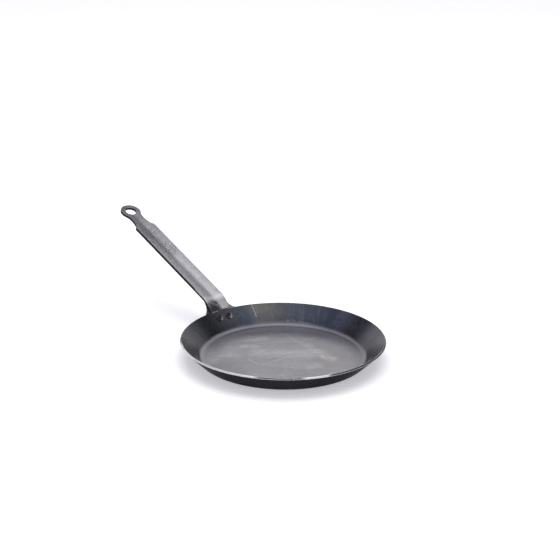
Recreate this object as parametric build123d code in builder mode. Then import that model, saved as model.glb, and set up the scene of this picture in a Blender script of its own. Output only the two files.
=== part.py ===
from build123d import *
from math import asin, atan2, cos, degrees, radians, sin, sqrt, tan
import os

# A small crepe pan: a shallow pressed pan, a long strip handle that rises from behind its wall,
# and the two rivets that hold them together. Lengths are in millimetres, angles in degrees.
# The origin is the middle of the base on the table, +Z is up and the handle points along +X.

# Pan body, one pressed sheet of carbon steel
rim_radius = 100.0
base_corner_radius = 80.6
rim_height = 18.85
pan_sheet = 2.0
inner_bend_radius = 8.0
rim_rounding = 0.5

# Handle, one strip pressed to a shallow trough and bent once where it leaves the wall
strip_half_width = 12.1
strip_thickness = 2.5
strip_edge_rounding = 0.4
trough_depth = 0.85
crease_radius = 20.0
strip_slope = 21.1
bend_rise = 15.1
bend_radius = 20.0

# End of the handle: the grip runs from the bend to its shoulders, the neck from there to the
# middle of the hanging eye
grip_length = 127.5
shoulder_run = 3.6
shoulder_drop = 2.9
shoulder_rounding = 1.6
shoulder_hollow = 3.0
neck_length = 24.9
waist_half_width = 7.4
eye_radius = 10.8
eye_hole_radius = 6.0
eye_blend_angle = 50.0
eye_blend_radius = 8.0

# Foot of the handle, a plate that lies against the outside of the wall
flare_radius = 14.0
foot_wing = 5.5
foot_below_rim = 0.4
foot_drop = 16.0
foot_toe_half_width = 19.0
foot_toe_rounding = 8.0
foot_corner_rounding = 2.5
foot_step_rise = 1.0
foot_thin_edge = 0.9
foot_seat_gap = 0.1
shoulder_gap = 0.6

# Rivets, with shallow dished heads inside the pan and low domes outside
rivet_spacing = 11.8
rivet_below_rim = 8.4
rivet_shank_radius = 2.0
rivet_hole_gap = 0.1
rivet_seat_gap = 0.1
inner_head_radius = 3.5
inner_head_height = 0.9
inner_head_bevel = 0.35
dish_radius = 2.6
dish_depth = 0.4
outer_head_radius = 4.2
outer_head_height = 2.0
outer_head_edge = 0.5

# One overrun for every cut
overrun = 5.0

wall_angle = atan2(rim_height, rim_radius - base_corner_radius)
slope = radians(strip_slope)


def on_wall(rise, outward):
    """Radius and height of a point, by its rise along the wall above the rim's outer edge."""
    return (
        rim_radius + rise * cos(wall_angle) + outward * sin(wall_angle),
        rim_height + rise * sin(wall_angle) - outward * cos(wall_angle),
    )


def in_xz(point):
    return (point[0], 0, point[1])


def round_corner(sketch, place, radius):
    """Round the corner of a sketch that lies nearest to a place."""
    fillet(sketch.vertices().sort_by_distance(place)[0], radius)


# Pan body: the flat base turns up through one bend into a straight flared wall. The rim is cut
# square to the sheet, so its inner edge stands a little higher than its outer edge.
inner_corner_radius = base_corner_radius - pan_sheet * tan(wall_angle / 2)
outer_rim = (rim_radius, rim_height)
inner_rim = on_wall(0, -pan_sheet)

# Each rivet stands square to the wall, so the two axes fan out with the curve of the rim.
rivet_radius_on_wall, rivet_height_on_wall = on_wall(-rivet_below_rim, 0)
rivet_azimuth = asin(rivet_spacing / 2 / rivet_radius_on_wall)
rivet_hole_radius = rivet_shank_radius + rivet_hole_gap
rivet_hole_depth = 2 * (pan_sheet + strip_thickness + overrun)


def rivet_seat(side):
    """Plane on the wall's outer face at one rivet, its normal pointing out of the pan."""
    turn = side * rivet_azimuth
    return Plane(
        origin=(
            rivet_radius_on_wall * cos(turn),
            rivet_radius_on_wall * sin(turn),
            rivet_height_on_wall,
        ),
        x_dir=(-sin(turn), cos(turn), 0),
        z_dir=(sin(wall_angle) * cos(turn), sin(wall_angle) * sin(turn), -cos(wall_angle)),
    )


with BuildPart() as pan_body:
    with BuildSketch(Plane.XZ) as pan_section:
        with BuildLine():
            Polyline(
                (0, 0),
                (base_corner_radius, 0),
                outer_rim,
                inner_rim,
                (inner_corner_radius, pan_sheet),
                (0, pan_sheet),
                close=True,
            )
        make_face()
        round_corner(pan_section, (base_corner_radius, 0), inner_bend_radius + pan_sheet)
        round_corner(pan_section, (inner_corner_radius, pan_sheet), inner_bend_radius)
        round_corner(pan_section, outer_rim, rim_rounding)
        round_corner(pan_section, inner_rim, rim_rounding)
    revolve(axis=Axis.Z)
    with Locations(rivet_seat(1), rivet_seat(-1)):
        Cylinder(rivet_hole_radius, rivet_hole_depth, mode=Mode.SUBTRACT)

# Handle spine: it follows the wall, level with the wall's inner face, then bends to the lower
# slope of the grip. It lies in the plane of the strip's two top edges. It starts a share of the
# foot's depth below the rim, inside the foot, where room for the wall is cut from it later.
spine_start_share = 0.25
spine_start = on_wall(-foot_drop * spine_start_share, -pan_sheet)
bend_corner = on_wall(bend_rise, -pan_sheet)


def along_grip(distance):
    """Radius and height of a point of the spine, by its distance beyond the bend's corner."""
    return (
        bend_corner[0] + distance * cos(slope),
        bend_corner[1] + distance * sin(slope),
    )


def across_strip(point, angle):
    """Plane square to the spine, with x along the strip's width and y out of its top."""
    return Plane(origin=in_xz(point), x_dir=(0, 1, 0), z_dir=(cos(angle), 0, sin(angle)))


def trough_section(plane, depth):
    """Section of the strip: two halves that are flat at the edges and meet in a soft crease."""
    left = (-strip_half_width, 0)
    right = (strip_half_width, 0)
    crease = (0, -depth)
    under_left = (-strip_half_width, -strip_thickness)
    under_right = (strip_half_width, -strip_thickness)
    under_crease = (0, -depth - strip_thickness)
    with BuildSketch(plane) as section:
        with BuildLine():
            TangentArc(left, crease, tangent=(1, 0))
            TangentArc(right, crease, tangent=(-1, 0))
            TangentArc(under_left, under_crease, tangent=(1, 0))
            TangentArc(under_right, under_crease, tangent=(-1, 0))
            Line(left, under_left)
            Line(right, under_right)
        make_face()
        round_corner(section, crease, crease_radius)
        round_corner(section, under_crease, crease_radius + strip_thickness)
        for edge in (left, right, under_left, under_right):
            round_corner(section, edge, strip_edge_rounding)
    return section.sketch


# The trough grows shallower between the shoulders and the eye.
eye_distance = grip_length + shoulder_run + neck_length
neck_trough_share = 0.5
neck_distance = eye_distance - eye_hole_radius
neck_depth = trough_depth * neck_trough_share
shoulder_section = trough_section(across_strip(along_grip(grip_length), slope), trough_depth)
neck_section = trough_section(across_strip(along_grip(neck_distance), slope), neck_depth)
tip_section = trough_section(across_strip(along_grip(eye_distance + eye_radius), slope), neck_depth)

# Plan of the grip, drawn in the plane of its top edges with x along the strip. The waist is half
# way along the neck's two hollow sides.
waist_share = 0.5
grip_plane = Plane(
    origin=in_xz(bend_corner), x_dir=(cos(slope), 0, sin(slope)), z_dir=(-sin(slope), 0, cos(slope))
)
plan_reach = bend_rise + foot_drop + overrun
blend_angle = radians(eye_blend_angle)
shoulder_top = (grip_length, strip_half_width)
shoulder_end = (grip_length + shoulder_run, strip_half_width - shoulder_drop)
eye_start = (eye_distance - eye_radius * cos(blend_angle), eye_radius * sin(blend_angle))
waist = (shoulder_end[0] + waist_share * (eye_start[0] - shoulder_end[0]), waist_half_width)
eye_tip = (eye_distance + eye_radius, 0)
eye_side = (eye_distance, eye_radius)

with BuildPart() as strip:
    with BuildLine():
        FilletPolyline(
            in_xz(spine_start), in_xz(bend_corner), in_xz(along_grip(grip_length)), radius=bend_radius
        )
    add(trough_section(across_strip(spine_start, wall_angle), trough_depth))
    sweep()
    loft([shoulder_section, neck_section], ruled=True)
    loft([neck_section, tip_section], ruled=True)
    with BuildSketch(grip_plane) as grip_plan:
        with BuildLine():
            Polyline((-plan_reach, 0), (-plan_reach, strip_half_width), shoulder_top, shoulder_end)
            ThreePointArc(shoulder_end, waist, eye_start)
            ThreePointArc(eye_start, eye_side, eye_tip)
            mirror(about=Plane.XZ)
        make_face()
        for side in (1, -1):
            round_corner(grip_plan, (shoulder_top[0], side * shoulder_top[1]), shoulder_rounding)
            round_corner(grip_plan, (shoulder_end[0], side * shoulder_end[1]), shoulder_hollow)
            round_corner(grip_plan, (eye_start[0], side * eye_start[1]), eye_blend_radius)
    extrude(amount=plan_reach, both=True, mode=Mode.INTERSECT)
    with BuildSketch(grip_plane):
        with Locations((eye_distance, 0)):
            Circle(eye_hole_radius)
    extrude(amount=strip_thickness + overrun, both=True, mode=Mode.SUBTRACT)

# Foot: a piece of the same cone as the wall, one seat gap outside it. It thins out above the
# rim, where the strip takes over, and flares widely on both sides below.
foot_half_width = strip_half_width + flare_radius + foot_wing
foot_sweep = degrees(asin((foot_half_width + overrun) / rim_radius))
wall_plane = Plane(
    origin=in_xz(on_wall(0, 0)), x_dir=(0, 1, 0), z_dir=(sin(wall_angle), 0, -cos(wall_angle))
)

# Seen square to the wall, the rim bows down on both sides, and the foot's top edge follows it.
rim_bow_radius = rim_radius / cos(wall_angle) - foot_below_rim


def below_rim(half_width):
    """Point of the foot's top edge at one distance from the middle."""
    drop = rim_bow_radius - sqrt(rim_bow_radius ** 2 - half_width ** 2)
    return (half_width, -foot_below_rim - drop)


foot_corner = below_rim(foot_half_width)
flare_corner = below_rim(strip_half_width)

with BuildPart() as foot:
    with BuildSketch(Plane.XZ.rotated((0, 0, -foot_sweep))):
        with BuildLine():
            Polyline(
                on_wall(-foot_drop - overrun, foot_seat_gap),
                on_wall(flare_radius + overrun, foot_seat_gap),
                on_wall(flare_radius + overrun, foot_seat_gap + foot_thin_edge),
                on_wall(flare_radius, foot_seat_gap + foot_thin_edge),
                on_wall(foot_step_rise, foot_seat_gap + strip_thickness),
                on_wall(-foot_drop - overrun, foot_seat_gap + strip_thickness),
                close=True,
            )
        make_face()
    revolve(axis=Axis.Z, revolution_arc=2 * foot_sweep)
    with BuildSketch(wall_plane) as foot_plan:
        with BuildLine():
            Polyline((0, -foot_drop), (foot_toe_half_width, -foot_drop), foot_corner)
            RadiusArc(foot_corner, flare_corner, -rim_bow_radius)
            Polyline(flare_corner, (strip_half_width, flare_radius), (0, flare_radius))
            mirror(about=Plane.YZ)
        make_face()
        for side in (1, -1):
            round_corner(foot_plan, (side * flare_corner[0], flare_corner[1]), flare_radius)
            round_corner(foot_plan, (side * foot_corner[0], foot_corner[1]), foot_corner_rounding)
            round_corner(foot_plan, (side * foot_toe_half_width, -foot_drop), foot_toe_rounding)
    extrude(amount=foot_drop + overrun, both=True, mode=Mode.INTERSECT)

# Handle: strip and foot are one forging. Room is cut for the wall and its rim, which leaves a
# small shoulder above the rim's edge.
with BuildPart() as handle:
    add(strip.part)
    add(foot.part)
    with BuildSketch(Plane.XZ):
        with BuildLine():
            Polyline(
                on_wall(-foot_drop - overrun, foot_seat_gap),
                on_wall(shoulder_gap, foot_seat_gap),
                on_wall(shoulder_gap, -pan_sheet - overrun),
                on_wall(-foot_drop - overrun, -pan_sheet - overrun),
                close=True,
            )
        make_face()
    revolve(axis=Axis.Z, mode=Mode.SUBTRACT)
    with Locations(rivet_seat(1), rivet_seat(-1)):
        Cylinder(rivet_hole_radius, rivet_hole_depth, mode=Mode.SUBTRACT)

# Rivets: the shank fills both holes, the dished head sits in the pan and the dome behind it.
inner_seat = -pan_sheet - rivet_seat_gap
inner_top = inner_seat - inner_head_height
outer_seat = foot_seat_gap + strip_thickness + rivet_seat_gap
outer_top = outer_seat + outer_head_height
os.makedirs("parts", exist_ok=True)

for name, side in (("rivet_left", 1), ("rivet_right", -1)):
    seat = rivet_seat(side)
    with BuildPart() as rivet:
        with BuildSketch(Plane(origin=seat.origin, x_dir=seat.x_dir, z_dir=-seat.y_dir)):
            with BuildLine():
                TangentArc((0, inner_top + dish_depth), (dish_radius, inner_top), tangent=(1, 0))
                Polyline(
                    (dish_radius, inner_top),
                    (inner_head_radius - inner_head_bevel, inner_top),
                    (inner_head_radius, inner_top + inner_head_bevel),
                    (inner_head_radius, inner_seat),
                    (rivet_shank_radius, inner_seat),
                    (rivet_shank_radius, outer_seat),
                    (outer_head_radius, outer_seat),
                    (outer_head_radius, outer_seat + outer_head_edge),
                )
                dome_edge = (outer_head_radius, outer_seat + outer_head_edge)
                TangentArc((0, outer_top), dome_edge, tangent=(1, 0))
                Line((0, outer_top), (0, inner_top + dish_depth))
            make_face()
        revolve(axis=Axis(seat.origin, seat.z_dir))
    rivet.part.label = name
    export_step(rivet.part, f"parts/{name}.step")

pan_body.part.label = "pan_body"
handle.part.label = "handle"
export_step(pan_body.part, "parts/pan_body.step")
export_step(handle.part, "parts/handle.step")
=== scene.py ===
from math import asin, atan2, cos, pi, radians, sin

import bpy
from mathutils import Matrix, Vector

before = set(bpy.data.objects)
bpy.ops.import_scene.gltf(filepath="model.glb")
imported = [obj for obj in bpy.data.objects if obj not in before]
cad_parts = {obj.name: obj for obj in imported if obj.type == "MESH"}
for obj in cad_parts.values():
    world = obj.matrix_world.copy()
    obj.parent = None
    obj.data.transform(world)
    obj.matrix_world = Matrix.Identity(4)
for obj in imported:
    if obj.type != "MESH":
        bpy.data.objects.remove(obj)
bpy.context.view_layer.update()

# The camera
# It stands where the photograph was taken from: 1.56 m off with a long lens, about 22 degrees
# above the table. The handle points away from it and to the left.
focal_length_in_widths = 1600 / 560
sensor_mm = 36
camera_distance = 1.5608
camera_elevation = radians(22.429)
handle_turn = radians(130.22)
camera_pitch = radians(2.7665)
camera_yaw = radians(-0.139)
camera_roll = radians(0.669)


def as_photographed(right, back, up):
    """Point or direction of the photograph's own axes, in the pan's frame."""
    return Matrix.Rotation(-handle_turn, 3, "Z") @ Vector((right, back, up))


camera_place = as_photographed(
    0, -camera_distance * cos(camera_elevation), camera_distance * sin(camera_elevation)
)
camera_data = bpy.data.cameras.new("camera")
camera_data.sensor_width = sensor_mm
camera_data.lens = focal_length_in_widths * sensor_mm
camera = bpy.data.objects.new("camera", camera_data)
bpy.context.scene.collection.objects.link(camera)
camera.matrix_world = (
    Matrix.Translation(camera_place)
    @ (-camera_place).to_track_quat("-Z", "Y").to_matrix().to_4x4()
    @ Matrix.Rotation(camera_pitch, 4, "X")
    @ Matrix.Rotation(-camera_yaw, 4, "Y")
    @ Matrix.Rotation(camera_roll, 4, "Z")
)
bpy.context.scene.camera = camera
bpy.context.scene.view_settings.view_transform = "Standard"

# The room's light
# White screens stand low all round the table, the room above them is dark, and the ceiling is
# light again. Dark steel shows all three in its curves. One large soft lamp hangs overhead.
lamp_side = 1.5
lamp_height = 1.5
lamp_right, lamp_back = 0.05, 0.4
lamp_watts = 9.2


def colour(hex_colour):
    """Linear RGBA of an sRGB colour written as #rrggbb."""
    values = [int(hex_colour[k:k + 2], 16) / 255 for k in (1, 3, 5)]
    return [v / 12.92 if v <= 0.04045 else ((v + 0.055) / 1.055) ** 2.4 for v in values] + [1]


def add_node(tree, kind, inputs=(), stops=(), **settings):
    """Add a shader node: its settings, its inputs as values or other nodes' outputs, its stops."""
    made = tree.nodes.new("ShaderNode" + kind)
    for name, value in settings.items():
        setattr(made, name, value)
    for name, value in dict(inputs).items():
        if isinstance(value, bpy.types.NodeSocket):
            tree.links.new(value, made.inputs[name])
        else:
            made.inputs[name].default_value = value
    for number, (place, hex_colour) in enumerate(stops):
        ramp = made.color_ramp
        stop = ramp.elements[number] if number < 2 else ramp.elements.new(place)
        stop.position = place
        stop.color = colour(hex_colour)
    return made


world = bpy.data.worlds.new("studio")
bpy.context.scene.world = world
world.use_nodes = True
tree = world.node_tree
tree.nodes.clear()
direction = add_node(tree, "TexCoord").outputs["Generated"]
height = add_node(tree, "SeparateXYZ", {0: direction}).outputs["Z"]
room = add_node(tree, "ValToRGB", {"Fac": height}, stops=[
    (0, "#ffffff"), (1, "#ffffff"), (0.43, "#ffffff"), (0.46, "#3c3c3e"), (0.61, "#3c3c3e"),
    (0.66, "#7c7c7f"), (0.74, "#b3b3b7"), (0.8, "#c0c0c3"), (0.88, "#c4c4c7"), (0.915, "#fafafd"),
]).outputs["Color"]
seen_directly = add_node(tree, "LightPath").outputs["Is Camera Ray"]
room_light = add_node(tree, "Background", {"Color": room, "Strength": 1}).outputs[0]
white = add_node(tree, "Background", {"Color": colour("#ffffff"), "Strength": 1}).outputs[0]
shown = add_node(tree, "MixShader", {0: seen_directly, 1: room_light, 2: white}).outputs[0]
add_node(tree, "OutputWorld", {"Surface": shown})

lamp_data = bpy.data.lights.new("softbox", "AREA")
lamp_data.shape = "SQUARE"
lamp_data.size = lamp_side
lamp_data.energy = lamp_watts
lamp = bpy.data.objects.new("softbox", lamp_data)
bpy.context.scene.collection.objects.link(lamp)
lamp.location = as_photographed(lamp_right, lamp_back, lamp_height)
lamp.rotation_euler = lamp.location.to_track_quat("Z", "Y").to_euler()

# The table
# A sheet of matt white paper under the pan. It glows a little where it is seen or mirrored, so
# that it looks white everywhere but in the pan's shadow.
table_side = 30
glow_seen = 0.39
glow_mirrored = 0.22

bpy.ops.mesh.primitive_plane_add(size=table_side)
table = bpy.context.object
table.name = "table"
paper = bpy.data.materials.new("white_paper")
paper.use_nodes = True
tree = paper.node_tree
tree.nodes.clear()
path = add_node(tree, "LightPath").outputs
mirrored = add_node(tree, "Math", {0: path["Is Glossy Ray"], 1: glow_mirrored}, operation="MULTIPLY")
glow = add_node(tree, "Math", {
    0: path["Is Camera Ray"], 1: glow_seen, 2: mirrored.outputs[0],
}, operation="MULTIPLY_ADD").outputs[0]
lit = add_node(tree, "BsdfDiffuse", {"Color": colour("#fafafa")}).outputs[0]
glowing = add_node(tree, "Emission", {"Color": colour("#f8f8ff"), "Strength": glow}).outputs[0]
sheet = add_node(tree, "AddShader", {0: lit, 1: glowing}).outputs[0]
add_node(tree, "OutputMaterial", {"Surface": sheet})
table.data.materials.append(paper)

# Pan body
# Pressed from one sheet of carbon steel and blued, which means heated until a thin dark oxide
# grows on it. Heat and use leave brown and blue patches on the wall, and scouring wears the base
# to a lighter grey and the rim bare.
mm = 0.001
rim_radius = 100 * mm
rim_height = 18.85 * mm
base_corner_radius = 80.6 * mm
pan_sheet = 2 * mm
wall_angle = atan2(rim_height, rim_radius - base_corner_radius)
scoured_radius = 80 * mm
scoured_middle = (-12 * mm, 10 * mm, 0)
scouring_ends = scoured_radius + 24 * mm
scouring_full = scoured_radius - 8 * mm


def blotches(tree, place, size, low, high, detail=3):
    """Cloudy patches of one size in mm, from 0 at the low level of the noise to 1 at the high."""
    noise = add_node(tree, "TexNoise", {
        "Vector": place, "Scale": 1 / (size * mm), "Detail": detail, "Roughness": 0.6,
    }).outputs[0]
    return add_node(tree, "MapRange", {"Value": noise, "From Min": low, "From Max": high}).outputs[0]


def bent(tree, place, size, amount):
    """The same place shifted about by noise, so that a straight mark drawn in it wavers."""
    noise = add_node(tree, "TexNoise", {"Vector": place, "Scale": 1 / (size * mm), "Detail": 2})
    shift = add_node(tree, "VectorMath", {
        0: noise.outputs["Color"], 1: (0.5, 0.5, 0.5),
    }, operation="SUBTRACT").outputs[0]
    reach = (2 * amount * mm,) * 3
    return add_node(tree, "VectorMath", {
        0: shift, 1: reach, 2: place,
    }, operation="MULTIPLY_ADD").outputs[0]


def strokes(tree, place, marks):
    """Mask of straight marks, each with its start, end and half width in mm and its strength."""
    full_share = 0.15
    total = 0.0
    for start, end, half_width, strength in marks:
        first = Vector(start).to_3d() * mm
        run = Vector(end).to_3d() * mm - first
        along = run.normalized()
        offset = add_node(tree, "VectorMath", {0: place, 1: first}, operation="SUBTRACT").outputs[0]
        reach = add_node(tree, "VectorMath", {0: offset, 1: along}, operation="DOT_PRODUCT")
        reach = add_node(tree, "Clamp", {"Value": reach.outputs["Value"], "Max": run.length}).outputs[0]
        nearest = add_node(tree, "VectorMath", {0: along, "Scale": reach}, operation="SCALE").outputs[0]
        away = add_node(tree, "VectorMath", {0: offset, 1: nearest}, operation="DISTANCE")
        mark = add_node(tree, "MapRange", {
            "Value": away.outputs["Value"], "From Min": half_width * mm,
            "From Max": half_width * mm * full_share, "To Max": strength,
        }, interpolation_type="SMOOTHSTEP").outputs[0]
        total = add_node(tree, "Math", {0: total, 1: mark}, operation="MAXIMUM").outputs[0]
    return total


def hairlines(tree, place, angles, length, width, low, high):
    """Fine straight scratches in several directions, with their usual length and width in mm."""
    total = 0.0
    for angle in angles:
        drawn = add_node(tree, "Mapping", {
            "Vector": place, "Rotation": (0, 0, radians(angle)),
            "Scale": (length * mm, width * mm, width * mm),
        }, vector_type="TEXTURE").outputs[0]
        noise = add_node(tree, "TexNoise", {"Vector": drawn, "Scale": 1, "Detail": 2}).outputs[0]
        line = add_node(tree, "MapRange", {"Value": noise, "From Min": low, "From Max": high}).outputs[0]
        total = add_node(tree, "Math", {0: total, 1: line}, operation="MAXIMUM").outputs[0]
    return total


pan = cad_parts["pan_body"]
blued = bpy.data.materials.new("blued_steel")
blued.use_nodes = True
tree = blued.node_tree
tree.nodes.clear()
place = add_node(tree, "TexCoord").outputs["Object"]
axes = add_node(tree, "SeparateXYZ", {0: place}).outputs
level = add_node(tree, "CombineXYZ", {"X": axes["X"], "Y": axes["Y"]}).outputs[0]
radius = add_node(tree, "VectorMath", {0: level}, operation="LENGTH").outputs["Value"]
section = add_node(tree, "CombineXYZ", {"X": radius, "Y": axes["Z"]}).outputs[0]
from_rim = add_node(tree, "VectorMath", {
    0: section, 1: (rim_radius, rim_height, 0),
}, operation="SUBTRACT").outputs[0]
rise = add_node(tree, "VectorMath", {
    0: from_rim, 1: (cos(wall_angle), sin(wall_angle), 0),
}, operation="DOT_PRODUCT").outputs["Value"]
outward = add_node(tree, "VectorMath", {
    0: from_rim, 1: (sin(wall_angle), -cos(wall_angle), 0),
}, operation="DOT_PRODUCT").outputs["Value"]
azimuth = add_node(tree, "Math", {0: axes["Y"], 1: axes["X"]}, operation="ARCTAN2").outputs[0]
turn = add_node(tree, "MapRange", {"Value": azimuth, "From Min": -pi, "From Max": pi}).outputs[0]

# Wall, inside: the heat tints follow one another round the pan, with cloudy edges. Each place on
# this ramp and the next ones is a share of a full turn, and the handle is at 0.5.
tint_waver = 0.04
large_patches = blotches(tree, place, 16, 0, 1)
small_patches = blotches(tree, place, 4, 0, 1, detail=4)
shifted = add_node(tree, "Math", {
    0: large_patches, 1: tint_waver, 2: turn,
}, operation="MULTIPLY_ADD").outputs[0]
shifted = add_node(tree, "Math", {
    0: small_patches, 1: tint_waver, 2: shifted,
}, operation="MULTIPLY_ADD").outputs[0]
shifted = add_node(tree, "Math", {0: shifted, 1: tint_waver}, operation="SUBTRACT").outputs[0]
wall = add_node(tree, "ValToRGB", {"Fac": shifted}, stops=[
    (0, "#555459"), (1, "#555459"), (0.17, "#504e54"), (0.2, "#605f6b"), (0.25, "#60606f"),
    (0.28, "#61657a"), (0.3, "#484c5d"), (0.335, "#3f4453"), (0.36, "#464955"), (0.377, "#4a4f5c"),
    (0.39, "#4e4e53"), (0.41, "#5a5a5b"), (0.43, "#5b5956"), (0.445, "#565759"), (0.46, "#475062"),
    (0.475, "#585a63"), (0.5, "#5d5e64"), (0.54, "#505155"), (0.585, "#404145"), (0.64, "#504f54"),
]).outputs["Color"]
bluish = blotches(tree, place, 7, 0.52, 0.7, detail=4)
bluish = add_node(tree, "Math", {0: bluish, 1: 0.5}, operation="MULTIPLY").outputs[0]
wall = add_node(tree, "Mix", {0: bluish, 6: wall, 7: colour("#444b5b")}, data_type="RGBA").outputs[2]

# Wall, inside: paler runs down the wall, each about 3.3 mm wide, and a darker band low down
runs_round_the_wall = 170
run_length = 22.2 * mm
round_the_wall = add_node(tree, "CombineXYZ", {"X": turn, "Y": rise}).outputs[0]
runs = add_node(tree, "Mapping", {
    "Vector": round_the_wall, "Scale": (runs_round_the_wall, 1 / run_length, 1),
}).outputs[0]
runs = add_node(tree, "TexNoise", {"Vector": runs, "Scale": 1, "Detail": 4}).outputs[0]
runs = add_node(tree, "MapRange", {
    "Value": runs, "From Min": 0.52, "From Max": 0.8, "To Max": 0.3,
}).outputs[0]
wall = add_node(tree, "Mix", {0: runs, 6: wall, 7: colour("#76777d")}, data_type="RGBA").outputs[2]
low_down = add_node(tree, "MapRange", {
    "Value": rise, "From Min": -10 * mm, "From Max": -21 * mm, "To Max": 0.28,
}, interpolation_type="SMOOTHSTEP").outputs[0]
wall = add_node(tree, "Mix", {0: low_down, 6: wall, 7: colour("#35363c")}, data_type="RGBA").outputs[2]

# Wall, inside: two long scratches beside the handle and a few scuffs low on the wall
wavering = bent(tree, place, 9, 0.3)
wall_scratches = strokes(tree, wavering, [
    ((91.0, -34.6, 19.2), (82.0, -33.0, 10.5), 0.8, 0.45),
    ((88.7, -37.5, 18.3), (83.1, -35.8, 12.6), 0.8, 0.15),
    ((60.6, -57.4, 5.9), (61.3, -57.6, 6.3), 1.4, 0.35),
    ((60.0, -60.5, 6.5), (56.0, -63.5, 6.0), 1.2, 0.15),
    ((52.2, -65.3, 6.0), (42.9, -70.6, 5.0), 1.1, 0.28),
    ((56.0, -66.0, 9.5), (50.0, -69.0, 8.0), 1.2, 0.12),
    ((60.9, -72.5, 16.8), (51.7, -68.6, 8.2), 1.1, 0.06),
    ((48.0, -78.0, 13.0), (40.0, -75.0, 7.0), 1.2, 0.06),
])
wall = add_node(tree, "Mix", {
    0: wall_scratches, 6: wall, 7: colour("#b0b0b2"),
}, data_type="RGBA").outputs[2]

# Base, inside: scouring has worn it lighter in a wide disc that reaches the bend on one side
soft_edge = blotches(tree, place, 12, 0, 1)
ragged_edge = blotches(tree, place, 3, 0, 1, detail=4)
from_scoured = add_node(tree, "VectorMath", {
    0: level, 1: scoured_middle,
}, operation="DISTANCE").outputs["Value"]
edge = add_node(tree, "Math", {
    0: soft_edge, 1: 12 * mm, 2: from_scoured,
}, operation="MULTIPLY_ADD").outputs[0]
edge = add_node(tree, "Math", {0: ragged_edge, 1: 9 * mm, 2: edge}, operation="MULTIPLY_ADD").outputs[0]
scoured = add_node(tree, "MapRange", {
    "Value": edge, "From Min": scouring_ends, "From Max": scouring_full,
}, interpolation_type="SMOOTHSTEP").outputs[0]
mottled = blotches(tree, place, 4, 0.3, 0.7, detail=5)
long_haze = hairlines(tree, place, (-130, -118), 55, 7, 0.4, 0.68)
base = add_node(tree, "Mix", {
    0: mottled, 6: colour("#9c9ba1"), 7: colour("#a9a8ae"),
}, data_type="RGBA").outputs[2]
base = add_node(tree, "Mix", {
    0: long_haze, 6: base, 7: colour("#b1b0b5"),
}, data_type="RGBA").outputs[2]
warm = strokes(tree, bent(tree, level, 14, 5), [((-34, -30), (-44, -48), 24, 0.6)])
base = add_node(tree, "Mix", {0: warm, 6: base, 7: colour("#9c9493")}, data_type="RGBA").outputs[2]
cool = strokes(tree, bent(tree, level, 14, 5), [((20, 62), (-4, 66), 24, 0.7)])
base = add_node(tree, "Mix", {0: cool, 6: base, 7: colour("#90909b")}, data_type="RGBA").outputs[2]

# Base, inside: smears, a dense web of scratches on one side, and deeper single scratches
smeared = bent(tree, bent(tree, level, 16, 4), 4, 2)
smears = strokes(tree, smeared, [
    ((-13, -33), (-35, -31), 11, 0.5),
    ((-22, -29), (-38, -35), 5, 0.45),
    ((8, -37), (-14, -29), 9, 0.35),
    ((39, 52), (30, 36), 8, 0.35),
    ((53, 3), (47, -13), 9, 0.35),
    ((43, 15), (34, 6), 7, 0.35),
    ((-39, 3), (-40, -9), 7, 0.3),
    ((20, 12), (-12, -22), 18, 0.36),
    ((64, 43), (42, 61), 12, 0.4),
    ((31, 68), (33, 55), 8, 0.35),
])
streaky = blotches(tree, place, 3.5, 0.25, 0.62, detail=4)
smears = add_node(tree, "Math", {0: smears, 1: streaky}, operation="MULTIPLY").outputs[0]
webbed = strokes(tree, level, [((70, 22), (34, 66), 20, 1), ((30, -30), (-40, -34), 14, 0.5)])
# Real hairlines are about 0.1 mm wide. They are drawn 0.9 mm wide, or they would not show here.
web = hairlines(tree, bent(tree, level, 10, 2), (18, 62, 101, 147), 16, 0.9, 0.56, 0.72)
web = add_node(tree, "Math", {0: web, 1: webbed}, operation="MULTIPLY").outputs[0]
fine_lines = hairlines(tree, bent(tree, level, 20, 2), (40, 75, 128, 160), 26, 0.9, 0.6, 0.78)
here_and_there = blotches(tree, place, 18, 0.42, 0.62)
fine_lines = add_node(tree, "Math", {0: fine_lines, 1: here_and_there}, operation="MULTIPLY").outputs[0]
fine_lines = add_node(tree, "Math", {0: fine_lines, 1: web}, operation="MAXIMUM").outputs[0]
fine_lines = add_node(tree, "Math", {0: fine_lines, 1: 0.5}, operation="MULTIPLY").outputs[0]
scratches = strokes(tree, bent(tree, level, 12, 1.2), [
    ((60, -39), (39, -37.5), 1.0, 0.3),
    ((40, -37.7), (17.5, -35), 1.1, 0.3),
    ((17.5, -35), (-6.5, -30), 1.4, 0.28),
    ((16.8, -36), (14.5, -57), 1.4, 0.25),
    ((-5.2, 30), (-6.5, -10), 1.3, 0.28),
    ((14, 32.8), (-1, 33), 1.3, 0.35),
    ((30.8, 68), (33.3, 54.6), 1.4, 0.4),
    ((43.2, 15.3), (41.5, 10.6), 1.8, 0.4),
    ((34, 10.8), (34, 6), 1.5, 0.3),
])
marked = add_node(tree, "Math", {0: fine_lines, 1: scratches}, operation="MAXIMUM").outputs[0]
marked = add_node(tree, "Math", {0: marked, 1: smears}, operation="MAXIMUM").outputs[0]
base = add_node(tree, "Mix", {0: marked, 6: base, 7: colour("#f0eff4")}, data_type="RGBA").outputs[2]
# Outside the scoured disc the base keeps its oxide. Its colour round the pan, darker towards the back
# and the handle, is partly that oxide and partly painted reflection of the dark wall.
unworn_and_reflection = add_node(tree, "ValToRGB", {"Fac": turn}, stops=[
    (0, "#9d9ca6"), (1, "#9d9ca6"), (0.2, "#93929c"), (0.28, "#7f7e89"), (0.34, "#8b8a95"),
    (0.44, "#8a8994"), (0.5, "#8c8b96"), (0.56, "#9897a3"), (0.66, "#a5a4ae"),
]).outputs["Color"]
base = add_node(tree, "Mix", {0: scoured, 6: unworn_and_reflection, 7: base}, data_type="RGBA").outputs[2]
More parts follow.
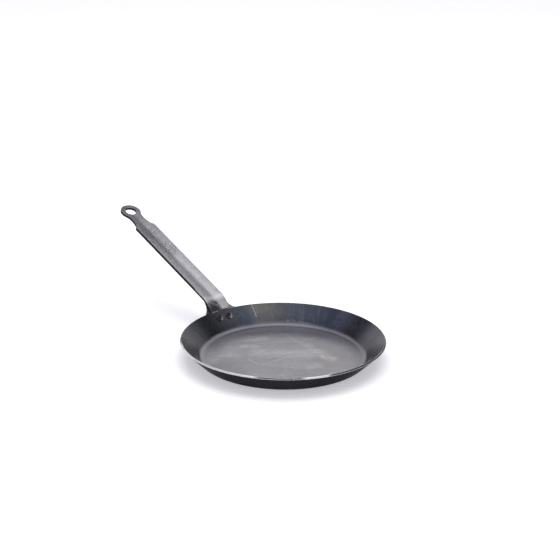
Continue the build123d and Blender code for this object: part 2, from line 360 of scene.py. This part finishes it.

# Bend: scouring also reaches a little way up the wall, least on the side that keeps its oxide.
# Its paler colour, which changes round the pan, also makes the bright ring along the bend, so it
# is partly wear and partly painted highlight. The worn ring is slightly oval.
ring_share = 0.97
ring_narrow_at = radians(50)
oval = add_node(tree, "Mapping", {
    "Vector": level, "Rotation": (0, 0, ring_narrow_at), "Scale": (ring_share, 1, 1),
}, vector_type="TEXTURE").outputs[0]
worn_radius = add_node(tree, "VectorMath", {0: oval}, operation="LENGTH").outputs["Value"]
bend_wear_and_highlight = add_node(tree, "ValToRGB", {"Fac": turn}, stops=[
    (0, "#9a99a1"), (1, "#9a99a1"), (0.14, "#a3a2aa"), (0.25, "#7b7a81"), (0.29, "#616068"),
    (0.34, "#616067"), (0.46, "#605f66"), (0.54, "#88878f"), (0.62, "#b6b5bd"), (0.75, "#b0afb7"),
]).outputs["Color"]
on_base = add_node(tree, "MapRange", {
    "Value": worn_radius, "From Min": 77.5 * mm, "From Max": 75.5 * mm,
}, interpolation_type="SMOOTHSTEP").outputs[0]
on_bend = add_node(tree, "Math", {
    0: ragged_edge, 1: -1.5 * mm, 2: worn_radius,
}, operation="MULTIPLY_ADD").outputs[0]
on_bend = add_node(tree, "MapRange", {
    "Value": on_bend, "From Min": 84.0 * mm, "From Max": 81.0 * mm,
}, interpolation_type="SMOOTHSTEP").outputs[0]
base = add_node(tree, "Mix", {0: on_base, 6: bend_wear_and_highlight, 7: base}, data_type="RGBA").outputs[2]
inside = add_node(tree, "Mix", {0: on_bend, 6: wall, 7: base}, data_type="RGBA").outputs[2]

# Outside and underneath: the same oxide, never scoured
outer_side = add_node(tree, "MapRange", {
    "Value": outward, "From Min": -1.2 * mm, "From Max": -0.8 * mm,
}).outputs[0]
underneath = add_node(tree, "MapRange", {
    "Value": axes["Z"], "From Min": 1.2 * mm, "From Max": 0.8 * mm,
}).outputs[0]
outer_side = add_node(tree, "Math", {0: outer_side, 1: underneath}, operation="MAXIMUM").outputs[0]
outside = add_node(tree, "Mix", {
    0: mottled, 6: colour("#565558"), 7: colour("#616063"),
}, data_type="RGBA").outputs[2]
steel = add_node(tree, "Mix", {0: outer_side, 6: inside, 7: outside}, data_type="RGBA").outputs[2]

# Rim: bare and bright where it is handled most, and only along its two arrises elsewhere. The bare
# stretches are laid out where the rim shows its highlights, so their bright colour is partly wear
# and partly painted highlight. On these two ramps white is bare steel and black is whole oxide.
on_rim = add_node(tree, "MapRange", {
    "Value": rise, "From Min": -0.55 * mm, "From Max": -0.25 * mm,
}).outputs[0]
face_wear_and_highlight = add_node(tree, "ValToRGB", {"Fac": turn}, stops=[
    (0, "#000000"), (1, "#000000"), (0.655, "#000000"), (0.672, "#ffffff"), (0.845, "#ffffff"),
    (0.853, "#5a5a5a"), (0.915, "#5a5a5a"), (0.924, "#ffffff"), (0.957, "#ffffff"), (0.965, "#000000"),
]).outputs["Color"]
arris_wear_and_highlight = add_node(tree, "ValToRGB", {"Fac": turn}, stops=[
    (0, "#d0d0d0"), (1, "#d0d0d0"), (0.085, "#d0d0d0"), (0.1, "#202020"), (0.47, "#202020"),
    (0.478, "#ffffff"), (0.487, "#ffffff"), (0.49, "#202020"), (0.504, "#202020"), (0.506, "#ffffff"),
    (0.518, "#ffffff"), (0.521, "#202020"), (0.66, "#202020"), (0.67, "#ffffff"),
]).outputs["Color"]
from_middle = add_node(tree, "Math", {0: outward, 1: pan_sheet / 2}, operation="ADD").outputs[0]
from_middle = add_node(tree, "Math", {0: from_middle}, operation="ABSOLUTE").outputs[0]
on_arris = add_node(tree, "MapRange", {
    "Value": from_middle, "From Min": 0.55 * mm, "From Max": 0.75 * mm,
}).outputs[0]
arris = add_node(tree, "Math", {0: arris_wear_and_highlight, 1: on_arris}, operation="MULTIPLY").outputs[0]
nicks = blotches(tree, place, 3, 0.2, 0.34)
bare_and_highlight = add_node(tree, "Math", {0: face_wear_and_highlight, 1: arris}, operation="MAXIMUM").outputs[0]
bare_and_highlight = add_node(tree, "Math", {0: bare_and_highlight, 1: nicks}, operation="MULTIPLY").outputs[0]
bare_and_highlight = add_node(tree, "Math", {0: bare_and_highlight, 1: on_rim}, operation="MULTIPLY").outputs[0]
steel = add_node(tree, "Mix", {0: on_rim, 6: steel, 7: colour("#47464a")}, data_type="RGBA").outputs[2]
# Painted highlight and wear: the bare stretches of the rim are near white
steel = add_node(tree, "Mix", {0: bare_and_highlight, 6: steel, 7: colour("#f3f3f6")}, data_type="RGBA").outputs[2]

# Surface: smooth oxide shines most, worn steel less, and the bare rim least. Real grain is finer
# than 0.1 mm. It is drawn 1.5 mm wide, or it would not show here.
aside = add_node(tree, "Math", {0: worn_radius, 1: radius}, operation="DIVIDE").outputs[0]
rough_edge = add_node(tree, "MapRange", {
    "Value": aside, "From Min": 1, "From Max": 1 / ring_share, "To Min": 0.3, "To Max": 0.45,
}).outputs[0]
rough_base = add_node(tree, "Mix", {0: scoured, 2: rough_edge, 3: 0.27}).outputs[0]
rough = add_node(tree, "Mix", {0: on_bend, 2: 0.24, 3: rough_base}).outputs[0]
rough = add_node(tree, "Mix", {0: bare_and_highlight, 2: rough, 3: 0.45}).outputs[0]
rough = add_node(tree, "Math", {0: mottled, 1: 0.06, 2: rough}, operation="MULTIPLY_ADD").outputs[0]
grain = blotches(tree, place, 1.5, 0, 1)
bump = add_node(tree, "Bump", {"Height": grain, "Strength": 0.07, "Distance": 0.05 * mm}).outputs[0]
edge_tint = add_node(tree, "Mix", {
    0: outer_side, 6: colour("#ffffff"), 7: colour("#a0a0a4"),
}, data_type="RGBA").outputs[2]
shader = add_node(tree, "BsdfPrincipled", {
    "Base Color": steel, "Metallic": 1, "Roughness": rough, "Specular Tint": edge_tint, "Normal": bump,
}).outputs[0]
add_node(tree, "OutputMaterial", {"Surface": shader})
for slot in pan.material_slots:
    slot.material = blued

# Handle
# Bare mild steel strip, tumbled after it is pressed, which leaves a matt grey skin full of fine
# pits. Its cut edges keep their dark scale, darkened further with painted shade. Its foot is riveted
# to the outside of the wall, where heat has darkened it on one side.
strip_slope = radians(21.1)
bend_corner = (109.44 * mm, 0, 30.81 * mm)
rim_end = -20 * mm
eye_end = 170 * mm

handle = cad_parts["handle"]
tumbled = bpy.data.materials.new("tumbled_steel")
tumbled.use_nodes = True
tree = tumbled.node_tree
tree.nodes.clear()
place = add_node(tree, "TexCoord").outputs["Object"]
sideways = add_node(tree, "SeparateXYZ", {0: place}).outputs["Y"]
from_bend = add_node(tree, "VectorMath", {0: place, 1: bend_corner}, operation="SUBTRACT").outputs[0]
along = add_node(tree, "VectorMath", {
    0: from_bend, 1: (cos(strip_slope), 0, sin(strip_slope)),
}, operation="DOT_PRODUCT").outputs["Value"]
far = add_node(tree, "MapRange", {"Value": along, "From Min": rim_end, "From Max": eye_end}).outputs[0]
skin = add_node(tree, "ValToRGB", {"Fac": far}, stops=[
    (0, "#cdccd0"), (1, "#5f5e63"), (0.07, "#c5c4c8"), (0.12, "#a6a5aa"), (0.2, "#a2a1a6"),
    (0.4, "#a1a0a5"), (0.6, "#99989d"), (0.8, "#7e7d82"),
]).outputs["Color"]
cloudy = blotches(tree, place, 7, 0.35, 0.65, detail=4)
cloudy = add_node(tree, "Math", {0: cloudy, 1: 0.25}, operation="MULTIPLY").outputs[0]
skin = add_node(tree, "Mix", {0: cloudy, 6: skin, 7: colour("#7a797e")}, data_type="RGBA").outputs[2]

# Pits: real ones are 0.1 to 0.3 mm across. They are drawn 1 mm across, or they would not show
# here. A stamped area near the shoulders has many more.
pit_noise = add_node(tree, "TexNoise", {"Vector": place, "Scale": 1 / (1 * mm), "Detail": 2}).outputs[0]
stamped = strokes(tree, place, [((219, 3, 73), (186, -2, 60), 12, 1)])
pit_level = add_node(tree, "MapRange", {"Value": stamped, "To Min": 0.41, "To Max": 0.54}).outputs[0]
pit_depth = add_node(tree, "Math", {0: pit_level, 1: pit_noise}, operation="SUBTRACT").outputs[0]
pits = add_node(tree, "MapRange", {"Value": pit_depth, "From Max": 0.08, "To Max": 0.7}).outputs[0]
skin = add_node(tree, "Mix", {0: pits, 6: skin, 7: colour("#444348")}, data_type="RGBA").outputs[2]
# Painted glints: light flecks among the pits, a painted highlight
painted_glints = add_node(tree, "MapRange", {
    "Value": pit_noise, "From Min": 0.56, "From Max": 0.66, "To Max": 0.35,
}).outputs[0]
skin = add_node(tree, "Mix", {0: painted_glints, 6: skin, 7: colour("#e4e3e7")}, data_type="RGBA").outputs[2]

# Foot: a dark burnt patch on the left half with a speckled edge, and painted shade on the
# shoulders, for the step where the real foot's shoulders start behind the strip's edges
ragged = blotches(tree, place, 4, 0, 1, detail=4)
edge = add_node(tree, "Math", {0: ragged, 1: 14 * mm, 2: along}, operation="MULTIPLY_ADD").outputs[0]
burnt = add_node(tree, "MapRange", {"Value": edge, "From Min": 11 * mm, "From Max": -2 * mm}).outputs[0]
edge = add_node(tree, "Math", {0: ragged, 1: -18 * mm, 2: sideways}, operation="MULTIPLY_ADD").outputs[0]
left_half = add_node(tree, "MapRange", {
    "Value": edge, "From Min": -16 * mm, "From Max": -7 * mm,
}).outputs[0]
burnt = add_node(tree, "Math", {0: burnt, 1: left_half}, operation="MULTIPLY").outputs[0]
burnt = add_node(tree, "Math", {0: pit_noise, 1: 1.6, 2: burnt}, operation="MULTIPLY_ADD").outputs[0]
burnt = add_node(tree, "MapRange", {"Value": burnt, "From Min": 1.2, "From Max": 1.7}).outputs[0]
skin = add_node(tree, "Mix", {0: burnt, 6: skin, 7: colour("#48484c")}, data_type="RGBA").outputs[2]
from_crease = add_node(tree, "Math", {0: sideways}, operation="ABSOLUTE").outputs[0]
# Painted shade on the shoulders beside the strip's edges
shoulder_shade = add_node(tree, "MapRange", {
    "Value": from_crease, "From Min": 11.2 * mm, "From Max": 12.2 * mm, "To Max": 0.8,
}).outputs[0]
on_foot = add_node(tree, "MapRange", {
    "Value": along, "From Min": -2 * mm, "From Max": -6 * mm,
}).outputs[0]
shoulder_shade = add_node(tree, "Math", {0: shoulder_shade, 1: on_foot}, operation="MULTIPLY").outputs[0]
skin = add_node(tree, "Mix", {0: shoulder_shade, 6: skin, 7: colour("#5f5e64")}, data_type="RGBA").outputs[2]

# Cut edges: the sides of the strip and the wall of the hole are near black, partly their dark scale
# and partly painted shade, with a painted shade line on the top beside one edge
facing = add_node(tree, "NewGeometry").outputs["Normal"]
upright = add_node(tree, "VectorMath", {
    0: facing, 1: (-sin(strip_slope), 0, cos(strip_slope)),
}, operation="DOT_PRODUCT").outputs["Value"]
upright = add_node(tree, "Math", {0: upright}, operation="ABSOLUTE").outputs[0]
on_grip = add_node(tree, "MapRange", {
    "Value": along, "From Min": 14 * mm, "From Max": 20 * mm,
}).outputs[0]
edge_scale_and_shade = add_node(tree, "MapRange", {"Value": upright, "From Min": 0.93, "From Max": 0.75}).outputs[0]
# Painted shade line on the top face beside one edge of the strip
edge_shade_line = add_node(tree, "MapRange", {
    "Value": sideways, "From Min": 11.0 * mm, "From Max": 11.5 * mm,
}).outputs[0]
edge_scale_and_shade = add_node(tree, "Math", {0: edge_scale_and_shade, 1: edge_shade_line}, operation="MAXIMUM").outputs[0]
edge_scale_and_shade = add_node(tree, "Math", {0: edge_scale_and_shade, 1: on_grip}, operation="MULTIPLY").outputs[0]
facing_aside = add_node(tree, "SeparateXYZ", {0: facing}).outputs["Y"]
facing_aside = add_node(tree, "Math", {0: facing_aside}, operation="ABSOLUTE").outputs[0]
side = add_node(tree, "MapRange", {"Value": facing_aside, "From Min": 0.4, "From Max": 0.7}).outputs[0]
above_foot = add_node(tree, "MapRange", {
    "Value": along, "From Min": -12 * mm, "From Max": -7 * mm,
}).outputs[0]
side = add_node(tree, "Math", {0: side, 1: above_foot}, operation="MULTIPLY").outputs[0]
edge_scale_and_shade = add_node(tree, "Math", {0: edge_scale_and_shade, 1: side}, operation="MAXIMUM").outputs[0]
skin = add_node(tree, "Mix", {0: edge_scale_and_shade, 6: skin, 7: colour("#2b2a2f")}, data_type="RGBA").outputs[2]

pitting = add_node(tree, "Bump", {"Height": pit_noise, "Strength": 0.4, "Distance": 0.1 * mm}).outputs[0]
edge_tint = add_node(tree, "Mix", {
    0: edge_scale_and_shade, 6: colour("#ffffff"), 7: colour("#a0a0a4"),
}, data_type="RGBA").outputs[2]
shader = add_node(tree, "BsdfPrincipled", {
    "Base Color": skin, "Metallic": 1, "Roughness": 0.36, "Specular Tint": edge_tint, "Normal": pitting,
}).outputs[0]
add_node(tree, "OutputMaterial", {"Surface": shader})
for slot in handle.material_slots:
    slot.material = tumbled

# Rivets
# Steel rivets closed cold, with shallow dished heads inside the pan. Oxide stays in the dish, and
# the bright crescent on the lower side of the head's raised rim is a painted highlight.
rivet_below_rim = 8.4 * mm
rivet_spacing = 11.8 * mm
dish_radius = 2.6 * mm
highlight_down, highlight_aside = 0.45, 0.89
rivet_radius_on_wall = rim_radius - rivet_below_rim * cos(wall_angle)
rivet_height_on_wall = rim_height - rivet_below_rim * sin(wall_angle)
rivet_azimuth = asin(rivet_spacing / 2 / rivet_radius_on_wall)
for name, side in (("rivet_left", 1), ("rivet_right", -1)):
    seat = Matrix.Rotation(side * rivet_azimuth, 3, "Z")
    middle = seat @ Vector((rivet_radius_on_wall, 0, rivet_height_on_wall))
    axis = seat @ Vector((sin(wall_angle), 0, -cos(wall_angle)))
    highlight_side = seat @ Vector((
        -highlight_down * cos(wall_angle), -highlight_aside, -highlight_down * sin(wall_angle),
    ))
    riveted = bpy.data.materials.new(name + "_steel")
    riveted.use_nodes = True
    tree = riveted.node_tree
    tree.nodes.clear()
    place = add_node(tree, "TexCoord").outputs["Object"]
    offset = add_node(tree, "VectorMath", {0: place, 1: middle}, operation="SUBTRACT").outputs[0]
    around = add_node(tree, "VectorMath", {0: offset, 1: axis}, operation="CROSS_PRODUCT").outputs[0]
    away = add_node(tree, "VectorMath", {0: around}, operation="LENGTH").outputs["Value"]
    raised = add_node(tree, "MapRange", {
        "Value": away, "From Min": dish_radius * 0.9, "From Max": dish_radius * 1.1,
    }).outputs[0]
    reach = add_node(tree, "VectorMath", {
        0: offset, 1: highlight_side,
    }, operation="DOT_PRODUCT").outputs["Value"]
    painted_highlight = add_node(tree, "MapRange", {
        "Value": reach, "From Min": dish_radius * 0.2, "From Max": dish_radius * 0.8,
    }).outputs[0]
    painted_highlight = add_node(tree, "Math", {0: painted_highlight, 1: raised}, operation="MULTIPLY").outputs[0]
    speckle = blotches(tree, place, 1.2, 0.3, 0.7)
    head = add_node(tree, "Mix", {
        0: speckle, 6: colour("#3c3c3f"), 7: colour("#4e4e51"),
    }, data_type="RGBA").outputs[2]
    # Painted highlight: a bright crescent on the lower side of the raised rim
    head = add_node(tree, "Mix", {0: painted_highlight, 6: head, 7: colour("#c4c3c4")}, data_type="RGBA").outputs[2]
    shader = add_node(tree, "BsdfPrincipled", {
        "Base Color": head, "Metallic": 1, "Roughness": 0.3,
    }).outputs[0]
    add_node(tree, "OutputMaterial", {"Surface": shader})
    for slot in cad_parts[name].material_slots:
        slot.material = riveted
